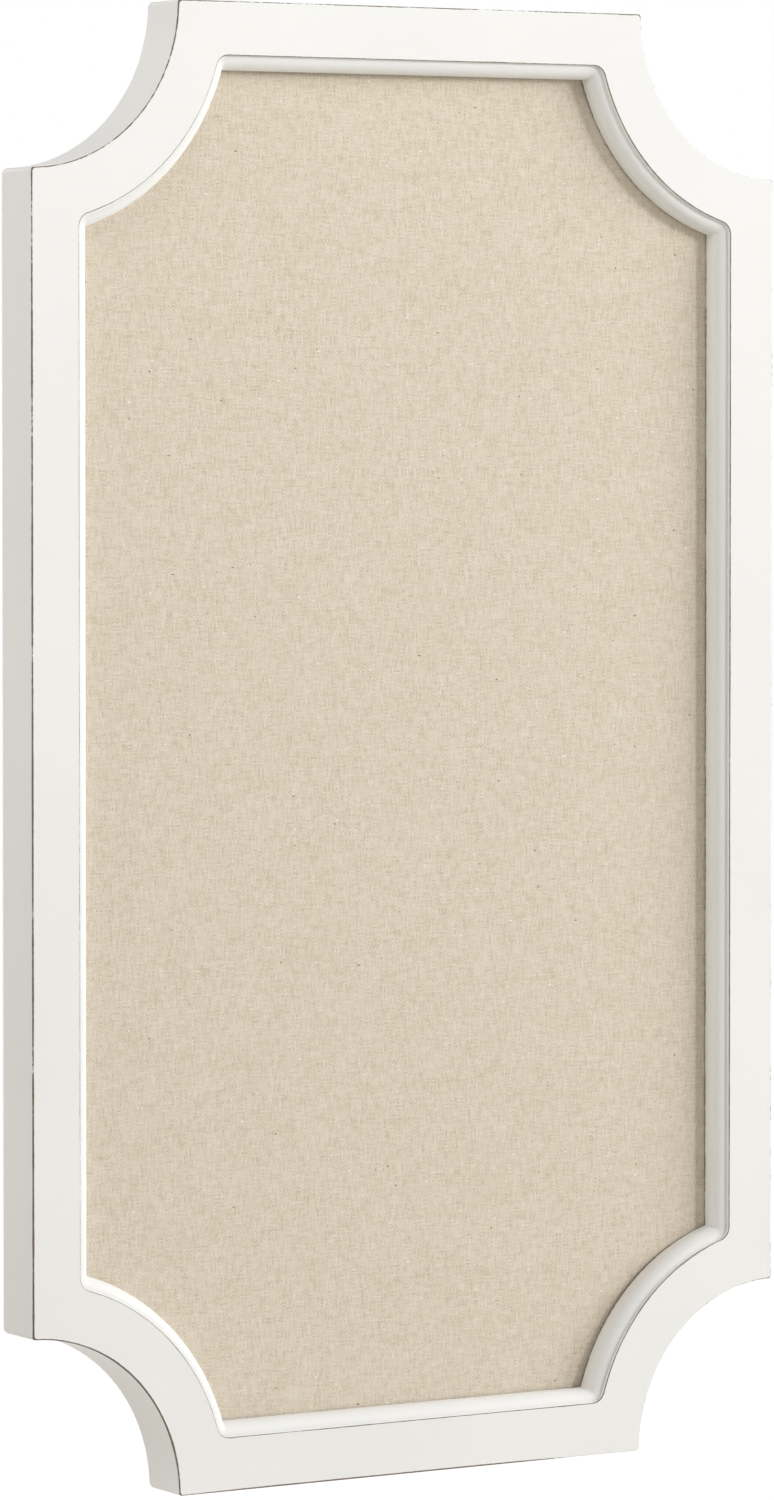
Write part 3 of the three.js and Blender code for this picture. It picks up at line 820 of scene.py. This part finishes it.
    def add_screw(self, sizes, node, material):
        """Pan-head screw with a cross recess, drawn along Z and laid with its head to the wall.

        The head is a square grid with the cross pushed in, rounded out to a dome.
        """
        low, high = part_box(node)
        radius = (high.x - low.x) / 2
        rim = sizes.head_height / 2
        cells, half_arm, arm_reach, floor_share = 14, 1, 4, 0.72
        mesh_data = bmesh.new()
        bmesh.ops.create_grid(mesh_data, x_segments=cells, y_segments=cells, size=1)

        def in_cross(face):
            near, far = sorted(abs(c) * cells / 2 for c in face.calc_center_median().xy)
            return near < half_arm and far < arm_reach

        cross = [face for face in mesh_data.faces if in_cross(face)]
        for vert in mesh_data.verts:
            across, up, _ = vert.co
            across, up = across * math.sqrt(1 - up**2 / 2), up * math.sqrt(1 - across**2 / 2)
            crown = math.sqrt(max(1 - across**2 - up**2, 0))
            vert.co = (across * radius, up * radius, rim * (1 + crown))
        sunk = bmesh.ops.extrude_face_region(mesh_data, geom=cross)["geom"]
        sunk = [v for v in sunk if isinstance(v, bmesh.types.BMVert)]
        bmesh.ops.translate(mesh_data, verts=sunk, vec=(0, 0, -sizes.recess_depth))
        bmesh.ops.scale(mesh_data, verts=sunk, vec=(floor_share, floor_share, 1))
        edge = [e for e in mesh_data.edges if e.is_boundary]
        foot = self.run(mesh_data, edge, (0, 0, -rim))
        bmesh.ops.contextual_create(mesh_data, geom=foot)
        below_head = high.y - low.y - sizes.head_height
        shank = sizes.shank_radius
        point = sizes.tip_length - below_head
        profile = [(0, 0, rim / 2), (shank, 0, rim / 2), (shank, 0, point), (0, 0, -below_head)]
        turned_profile(mesh_data, profile, axis=(0, 0, 1), steps=20)
        under_head = Vector(((low.x + high.x) / 2, high.y - sizes.head_height, (low.z + high.z) / 2))
        laid = Matrix.Translation(under_head) @ Matrix.Rotation(-math.pi / 2, 4, "X")
        bmesh.ops.transform(mesh_data, verts=mesh_data.verts, matrix=laid)
        piece = add_piece(node.replace("hanger", "pan_head"), mesh_data, material, "board")
        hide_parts(node)


class PINBOARD_OT_bumpers(bpy.types.Operator):
    """Rubber bumpers that keep the board parallel to the wall"""

    bl_idname = "pinboard.bumpers"
    bl_label = "Wall bumpers"

    def execute(self, context):
        edge = context.scene.pinboard_hangers.bumper_edge
        material = bumper_rubber(context.scene.pinboard_colours)
        for side in SIDES:
            node = f"wall_bumper_{side}"
            low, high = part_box(node)
            middle = (low + high) / 2
            radius = (high.z - low.z) / 2
            rim = quarter((radius - edge, high.y - edge), edge, 0, 5)
            profile = [(r, y, 0) for r, y in [(0, low.y), (radius, low.y), *rim, (0, high.y)]]
            mesh_data = bmesh.new()
            turned_profile(mesh_data, profile, axis=(0, 1, 0), steps=48)
            bmesh.ops.translate(mesh_data, verts=mesh_data.verts, vec=(middle.x, 0, middle.z))
            piece = add_piece(f"rubber_bumper_{side}", mesh_data, material, "board")
            even_normals(piece)
            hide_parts(node)
        return {"FINISHED"}


class PINBOARD_OT_stage(bpy.types.Operator):
    """Pale floor, soft lamps, white surroundings and the camera"""

    bl_idname = "pinboard.stage"
    bl_label = "Stage"

    def execute(self, context):
        scene = context.scene
        scene.view_settings.view_transform = "Standard"
        self.add_floor(scene)
        self.light_world(scene)
        neutral, warm = (1, 1, 1), (1, 0.957, 0.898)
        # Azimuth and elevation in degrees, distance and size in metres, power in watts.
        self.add_lamp(scene, "key_lamp", (42, 19), 6.8, (0.9, 1.4), 164, neutral)
        self.add_lamp(scene, "wide_lamp", (65, 14), 6.8, (3.4, 2.2), 280, neutral)
        self.add_lamp(scene, "fill_lamp", (-36, 50), 1.8, (0.9, 0.9), 6.8, neutral)
        self.add_lamp(scene, "side_lamp", (-78, 23), 5, (2.9, 2.9), 73, warm)
        self.add_lamp(scene, "top_lamp", (-160, 75), 2.2, (1.2, 1.2), 7, warm)
        self.add_lamp(scene, "back_lamp", (190, 8), 3.4, (2.2, 2.2), 58, neutral)
        self.add_camera(scene)
        return {"FINISHED"}

    def white_to_camera(self, tree):
        """Share of rays that see the plain white surroundings."""
        path = tree.nodes.new("ShaderNodeLightPath")
        total = path.outputs["Is Camera Ray"]
        for name in ("Is Glossy Ray", "Is Transmission Ray"):
            add = tree.nodes.new("ShaderNodeMath")
            add.operation = "ADD"
            add.use_clamp = True
            tree.links.new(total, add.inputs[0])
            tree.links.new(path.outputs[name], add.inputs[1])
            total = add.outputs[0]
        return total

    def add_floor(self, scene):
        """A pale floor well below the board. To the camera it is almost as white as the rest."""
        half_side, drop = 30, 0.6
        glow_share, glow_strength = 0.7, 1.36
        mesh_data = bmesh.new()
        bmesh.ops.create_grid(mesh_data, x_segments=1, y_segments=1, size=half_side)
        bmesh.ops.translate(mesh_data, verts=mesh_data.verts, vec=(0, 0, cad_low.z - drop))
        mesh = bpy.data.meshes.new("floor")
        mesh_data.to_mesh(mesh)
        mesh_data.free()
        material = bpy.data.materials.new("pale_floor")
        material.use_nodes = True
        tree = material.node_tree
        shader = tree.nodes["Principled BSDF"]
        shader.inputs["Base Color"].default_value = (0.9, 0.868, 0.81, 1)
        shader.inputs["Roughness"].default_value = 0.8
        shader.inputs["Specular IOR Level"].default_value = 0.0
        glow = tree.nodes.new("ShaderNodeEmission")
        mix = tree.nodes.new("ShaderNodeMixShader")
        share = tree.nodes.new("ShaderNodeMath")
        share.operation = "MULTIPLY"
        share.inputs[1].default_value = glow_share
        glow.inputs["Strength"].default_value = glow_strength
        tree.links.new(self.white_to_camera(tree), share.inputs[0])
        tree.links.new(share.outputs[0], mix.inputs[0])
        tree.links.new(shader.outputs[0], mix.inputs[1])
        tree.links.new(glow.outputs[0], mix.inputs[2])
        tree.links.new(mix.outputs[0], tree.nodes["Material Output"].inputs["Surface"])
        mesh.materials.append(material)
        floor = bpy.data.objects.new("floor", mesh)
        scene.collection.objects.link(floor)

    def light_world(self, scene):
        """Surroundings that look plain white and light the board only a little."""
        lit, seen = 0.08, 1.0
        world = bpy.data.worlds.new("surroundings")
        world.use_nodes = True
        scene.world = world
        tree = world.node_tree
        background = tree.nodes["Background"]
        background.inputs["Color"].default_value = (1, 1, 1, 1)
        strength = tree.nodes.new("ShaderNodeMapRange")
        strength.inputs["To Min"].default_value = lit
        strength.inputs["To Max"].default_value = seen
        tree.links.new(self.white_to_camera(tree), strength.inputs["Value"])
        tree.links.new(strength.outputs["Result"], background.inputs["Strength"])

    def add_lamp(self, scene, name, bearing, distance, size, power, colour):
        """A soft box of a width and height, seen from the board at an azimuth and elevation."""
        azimuth, elevation = (math.radians(angle) for angle in bearing)
        towards = Vector((
            math.sin(azimuth) * math.cos(elevation),
            -math.cos(azimuth) * math.cos(elevation),
            math.sin(elevation),
        ))
        data = bpy.data.lights.new(name, "AREA")
        data.shape = "RECTANGLE"
        data.size, data.size_y = size
        data.energy = power
        data.color = colour
        lamp = bpy.data.objects.new(name, data)
        lamp.location = (cad_low + cad_high) / 2 + towards * distance
        lamp.rotation_mode = "QUATERNION"
        lamp.rotation_quaternion = (-towards).to_track_quat("-Z", "Y")
        lamp.visible_camera = False
        scene.collection.objects.link(lamp)

    def add_camera(self, scene):
        """A camera fitted to the board's edges in the photograph, at the board's real size."""
        from_front = Vector((-2.01675, -3.10531, 0.19366))
        yaw, pitch = 0.57214, -0.03232
        data = bpy.data.cameras.new("portrait_camera")
        data.sensor_width = 36
        data.lens = 171.34
        data.shift_y = -0.1
        data.clip_start = 0.1
        data.clip_end = 100
        camera = bpy.data.objects.new("portrait_camera", data)
        camera.location = front_middle() + from_front
        forward = Vector((
            math.sin(yaw) * math.cos(pitch),
            math.cos(yaw) * math.cos(pitch),
            math.sin(pitch),
        ))
        camera.rotation_mode = "QUATERNION"
        camera.rotation_quaternion = forward.to_track_quat("-Z", "Y")
        scene.collection.objects.link(camera)
        scene.camera = camera


class PINBOARD_PT_pieces(bpy.types.Panel):
    """Lists the pieces and the stage"""

    bl_idname = "PINBOARD_PT_pieces"
    bl_label = "Pin board"
    bl_space_type = "VIEW_3D"
    bl_region_type = "UI"
    bl_category = "Pin Board"

    def draw(self, context):
        for operator in OPERATORS:
            self.layout.operator(operator.bl_idname)


OPERATORS = (
    PINBOARD_OT_painted_frame,
    PINBOARD_OT_linen,
    PINBOARD_OT_panel,
    PINBOARD_OT_fixings,
    PINBOARD_OT_hangers,
    PINBOARD_OT_bumpers,
    PINBOARD_OT_stage,
)
GROUPS = {
    "pinboard_frame": FrameSizes,
    "pinboard_panel": PanelSizes,
    "pinboard_hangers": HangerSizes,
    "pinboard_colours": BoardColours,
}


def register():
    for group in GROUPS.values():
        bpy.utils.register_class(group)
    for name, group in GROUPS.items():
        setattr(bpy.types.Scene, name, PointerProperty(type=group))
    for operator in OPERATORS:
        bpy.utils.register_class(operator)
    bpy.utils.register_class(PINBOARD_PT_pieces)


def unregister():
    bpy.utils.unregister_class(PINBOARD_PT_pieces)
    for operator in reversed(OPERATORS):
        bpy.utils.unregister_class(operator)
    for name in GROUPS:
        delattr(bpy.types.Scene, name)
    for group in reversed(GROUPS.values()):
        bpy.utils.unregister_class(group)


def main():
    register()
    bpy.ops.pinboard.painted_frame()
    bpy.ops.pinboard.linen()
    bpy.ops.pinboard.panel()
    bpy.ops.pinboard.fixings()
    bpy.ops.pinboard.hangers()
    bpy.ops.pinboard.bumpers()
    bpy.ops.pinboard.stage()


if __name__ == "__main__":
    main()
